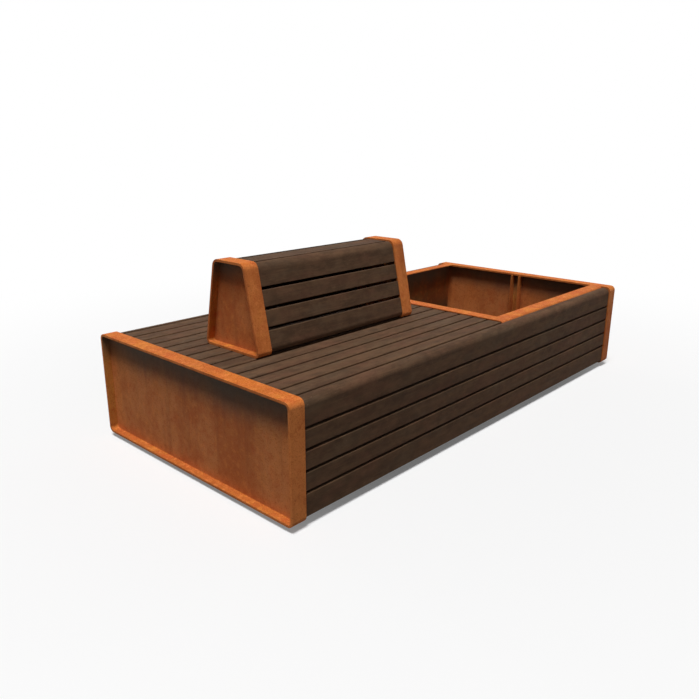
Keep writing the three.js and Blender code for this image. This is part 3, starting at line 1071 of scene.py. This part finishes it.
@dataclass
class BackrestBoards(SubAssembly):
    """The boards of the backrest: one on top and four on each slanted side."""

    boarding: Boarding
    base: float = 346 * MILLIMETRE  # width that the slanted sides reach on the seat
    crown: float = BackrestRings.crown
    setback: float = 6 * MILLIMETRE  # of the boards inside the rings' outline
    thickness: float = 43 * MILLIMETRE
    joint: float = 12.5 * MILLIMETRE
    shares: tuple[float, ...] = (0.289, 0.209, 0.208, 0.294)  # of a slanted side, from the top
    # factor on the top board's tone: painted shade, as the top board is seen at a grazing angle
    top_board_painted_shade: float = 0.84
    joint_ease: float = 1.2 * MILLIMETRE

    def build(self) -> None:
        """Builds the top board and both slanted sides."""
        top_board = self.block("backrest_top_slat")
        self.boarding.finish(top_board, darker=self.top_board_painted_shade, ease=self.joint_ease)
        for side in Side:
            for number in range(1, len(self.shares) + 1):
                self._build_slanted(side, number)

    def _build_slanted(self, side: Side, number: int) -> None:
        """Builds one slanted board.

        Args:
            side: Its side of the backrest.
            number: Its place from the top.
        """
        node = f"backrest_slat_{side.name.lower()}_{number}"
        low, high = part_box(node)
        ring_low, ring_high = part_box("backrest_near_ring")
        lean = (self.base - self.crown) / 2 / (ring_high.z - ring_low.z)
        tilt = math.atan(lean)
        top = ring_high.z - self.setback
        foot = ring_low.z + self.setback
        slant = (top - foot) / math.cos(tilt)
        timber = slant - self.joint * (len(self.shares) - 1)
        start = sum(self.shares[: number - 1]) * timber + self.joint * (number - 1)
        end = start + self.shares[number - 1] * timber
        first = number == 1
        last = number == len(self.shares)

        crown_half = self.crown / 2 + self.setback * lean - self.setback / math.cos(tilt)
        joint_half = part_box("backrest_top_slat")[1].y + self.joint
        down = Vector((0, side.value * math.sin(tilt), -math.cos(tilt)))
        inwards = Vector((0, -side.value * math.cos(tilt), -math.sin(tilt)))
        shoulder = Vector(((low.x + high.x) / 2, side.value * crown_half, top))
        spare = self.thickness
        from_top = start - spare if first else start
        to_foot = end + spare if last else end
        centre = shoulder + down * (from_top + to_foot) / 2 + inwards * self.thickness / 2
        size = Vector((high.x - low.x, self.thickness, to_foot - from_top))

        piece = self.block(node, (centre - size / 2, centre + size / 2))
        rounded = None
        with editing(piece):
            bpy.ops.mesh.select_all(action="SELECT")
            bpy.ops.transform.rotate(value=-side.value * tilt, orient_axis="X", center_override=centre)
            if first:
                trim((0, 0, top), (0, 0, 1))
                trim((0, side.value * joint_half, 0), (0, -side.value, 0))
                rounded = (shoulder.y, top)
            if last:
                trim((0, 0, foot), (0, 0, -1))
                rounded = ((shoulder + down * slant).y, foot)
        self.boarding.finish(piece, rounded, ease=self.joint_ease if first else None)


@dataclass
class CarriedOver:
    """Pieces of the frame whose shape is right as it is, and that only need a finish."""

    nodes: list[str]

    def dress(self, material: bpy.types.Material) -> None:
        """Gives the nodes their finish.

        Args:
            material: The finish.
        """
        for node in self.nodes:
            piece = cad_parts[node]
            if not piece.material_slots:
                piece.data.materials.append(material)
            for slot in piece.material_slots:
                slot.material = material
            LOG.info("%s: carried over with %s", node, material.name)


@dataclass
class Studio:
    """A pale floor, a soft lamp overhead, low fill lamps and the photograph's camera."""

    camera_place: Triple = (-2.57728, -2.07376, 1.25116)
    heading_degrees: float = 47.30
    pitch_degrees: float = -17.04
    roll_degrees: float = 0.197
    lens: float = 35.124
    sensor: float = 36.0
    image_side: int = 699
    centre_offset: Span = (0.5, 0.5)  # pixels from the middle to the lens's axis, right and down
    key_lean_degrees: Span = (-14.6, -9.6)  # along X and Y
    key_angle_degrees: float = 18.0
    key_strength: float = 3.1
    fill_elevation_degrees: float = 0.5
    fill_angle_degrees: float = 8.0
    fill_strength: float = 1.2
    front_fill_strength: float = 0.22
    ambient: float = 0.05
    floor_size: float = 60.0
    floor_pale: float = 0.78  # grey that the camera sees
    floor_bounce: float = 0.1  # grey that the bench is lit by
    floor_glow: float = 0.14  # white that is added beside the bench
    floor_near: float = 0.8  # distances between which the floor turns white
    floor_far: float = 3.8

    def build(self) -> None:
        """Builds floor, world, lamps and camera."""
        scene = bpy.context.scene
        scene.view_settings.view_transform = "Standard"
        self._build_floor()
        self._build_world(scene)
        self._build_lamps()
        self._build_camera(scene)

    @staticmethod
    def _seen_white(recipe: Recipe) -> Signal:
        """Tells the rays that see the surroundings from those that are lit by them.

        Args:
            recipe: Recipe that reads it.

        Returns:
            One for camera, glossy and transmitted rays, and zero for all others.
        """
        camera, glossy, through = (
            recipe.node("ShaderNodeLightPath", {}, {}, f"Is {kind} Ray")
            for kind in ("Camera", "Glossy", "Transmission")
        )
        return (camera + glossy + through).ramp(0.0, 1.0)

    def _build_floor(self) -> None:
        """Builds the floor, which turns into the white background far from the bench."""
        deselect_all()
        bpy.ops.mesh.primitive_plane_add(size=self.floor_size, location=(0, 0, 0))
        floor = bpy.context.active_object
        floor.name = "studio_floor"
        material, recipe = new_recipe("studio_floor")
        seen = self._seen_white(recipe)
        distance = recipe.node(
            "ShaderNodeVectorMath", {"operation": "LENGTH"}, {0: recipe.coordinates()}, "Value"
        )
        far = distance.ramp(self.floor_near, self.floor_far)
        pale = self.floor_bounce + seen * (self.floor_pale - self.floor_bounce)
        pale = pale * (1.0 - far * seen)
        matt = recipe.node("ShaderNodeBsdfDiffuse", {}, {"Color": recipe.grey(pale)})
        glow = seen * (self.floor_glow + far * (1.0 - self.floor_glow))
        glowing = recipe.node("ShaderNodeEmission", {}, {"Color": WHITE, "Strength": glow})
        surface = recipe.node("ShaderNodeAddShader", {}, {0: matt, 1: glowing})
        recipe.node("ShaderNodeOutputMaterial", {}, {"Surface": surface})
        floor.data.materials.append(material)
        LOG.info("studio_floor: stage")

    def _build_world(self, scene: bpy.types.Scene) -> None:
        """Builds a world that is white to look at and lights only weakly.

        Args:
            scene: The scene that gets it.
        """
        world = bpy.data.worlds.new("studio_world")
        world.use_nodes = True
        scene.world = world
        recipe = Recipe(world.node_tree)
        strength = self.ambient + self._seen_white(recipe) * (1.0 - self.ambient)
        white = recipe.node("ShaderNodeBackground", {}, {"Color": WHITE, "Strength": strength})
        recipe.node("ShaderNodeOutputWorld", {}, {"Surface": white})

    @staticmethod
    def _add_lamp(name: str, towards: Vector, strength: float, angle_degrees: float) -> None:
        """Adds one lamp far away.

        Args:
            name: The lamp's name.
            towards: Direction from the bench to the lamp.
            strength: Its strength.
            angle_degrees: How wide it looks from the bench.
        """
        deselect_all()
        bpy.ops.object.light_add(type="SUN", location=towards.normalized())
        lamp = bpy.context.active_object
        lamp.name = name
        lamp.rotation_euler = towards.to_track_quat("Z", "Y").to_euler()
        lamp.data.energy = strength
        lamp.data.angle = math.radians(angle_degrees)

    def _build_lamps(self) -> None:
        """Builds the lamp overhead and three low fill lamps."""
        lean_x, lean_y = (math.tan(math.radians(lean)) for lean in self.key_lean_degrees)
        above = Vector((lean_x, lean_y, 1))
        self._add_lamp("overhead_lamp", above, self.key_strength, self.key_angle_degrees)
        rise = math.tan(math.radians(self.fill_elevation_degrees))
        fills = {
            "back": (0, 1, self.fill_strength),
            "far": (1, 0, self.fill_strength),
            "front": (0, -1, self.front_fill_strength),
        }
        for place, (x, y, strength) in fills.items():
            self._add_lamp(f"{place}_fill_lamp", Vector((x, y, rise)), strength, self.fill_angle_degrees)

    def _build_camera(self, scene: bpy.types.Scene) -> None:
        """Builds the photograph's camera.

        Args:
            scene: The scene that gets it.
        """
        data = bpy.data.cameras.new("photo_camera")
        data.sensor_width = self.sensor
        data.lens = self.lens
        right, down = (offset / self.image_side for offset in self.centre_offset)
        data.shift_x = -right
        data.shift_y = down
        camera = bpy.data.objects.new("photo_camera", data)
        scene.collection.objects.link(camera)
        turn = (
            Matrix.Rotation(-math.radians(self.heading_degrees), 4, "Z")
            @ Matrix.Rotation(math.radians(90 + self.pitch_degrees), 4, "X")
            @ Matrix.Rotation(math.radians(self.roll_degrees), 4, "Z")
        )
        camera.matrix_world = Matrix.Translation(self.camera_place) @ turn
        scene.camera = camera


def main() -> None:
    """Builds and dresses the bench, piece by piece, and sets up the studio."""
    logging.basicConfig(level=logging.INFO, format="%(name)s: %(message)s")
    Studio().build()

    rim_steel = WeatheringSteel(rust=(199, 105, 41)).material("rim")
    # webs: painted shade under the flange, only on faces that look to the near end
    web = {"painted_shade_faces": PaintedShadeFaces.NEAR_SIDE, "upright_rust_and_shade": (198, 127, 78)}
    end_steel = WeatheringSteel(UNDER_SEAT, **web).material("end_web")
    backrest_steel = WeatheringSteel(UNDER_CROWN, **web).material("backrest_web")
    # rings: painted shade under the flange on their inner faces
    ring = {"painted_shade_faces": PaintedShadeFaces.INNER_FACES}
    end_ring_steel = WeatheringSteel(UNDER_SEAT, **ring).material("end_ring")
    backrest_ring_steel = WeatheringSteel(UNDER_CROWN, **ring).material("backrest_ring")
    # planter inside: painted shade, as a dark grey-brown on upright faces and a darkening towards the
    # floor
    planter_steel = WeatheringSteel(
        UNDER_SEAT, planter_shade_heights=PLANTER_SHADE_HEIGHTS, upright_rust_and_shade=(102, 92, 60), planter_shade=(62, 46, 34)
    ).material("planter")
    timber = DarkTimber().material()
    galvanised = ZincCoat(
        Slot.GALVANISED, bright=(186, 190, 192), dull=(140, 146, 150), crystal_scale=90.0
    ).material()
    zinc = ZincCoat(
        Slot.ZINC, bright=(205, 208, 212), dull=(168, 172, 176), crystal_scale=260.0
    ).material()

    boarding = Boarding()
    for assembly in (SeatDeck(boarding), SideCladding(boarding), BackrestBoards(boarding)):
        assembly.build()
        assembly.dress(timber, Slot.TIMBER)
    steelwork = (
        (EndRings(BentRing()), end_ring_steel),
        (BackrestRings(BentRing()), backrest_ring_steel),
        (PlanterRim(), rim_steel),
        (PlanterChannel(), end_ring_steel),
    )
    for assembly, finish in steelwork:
        assembly.build()
        assembly.dress(finish, Slot.STEEL)

    CarriedOver(["near_end_web", "far_end_web"]).dress(end_steel)
    CarriedOver(["backrest_near_web", "backrest_far_web"]).dress(backrest_steel)
    planter_parts = ("near_wall", "front_wall", "back_wall", "floor")
    CarriedOver([f"planter_{part}" for part in planter_parts]).dress(planter_steel)
    frames = [f"support_frame_{number}" for number in (1, 2, 3)]
    CarriedOver(frames + ["base_rail_front", "base_rail_back"]).dress(galvanised)
    feet = [f"foot_{place}_{side}" for place in ("near", "middle", "far") for side in ("front", "back")]
    CarriedOver(feet + ["backrest_anchor_near", "backrest_anchor_far"]).dress(zinc)


if __name__ == "__main__":
    main()
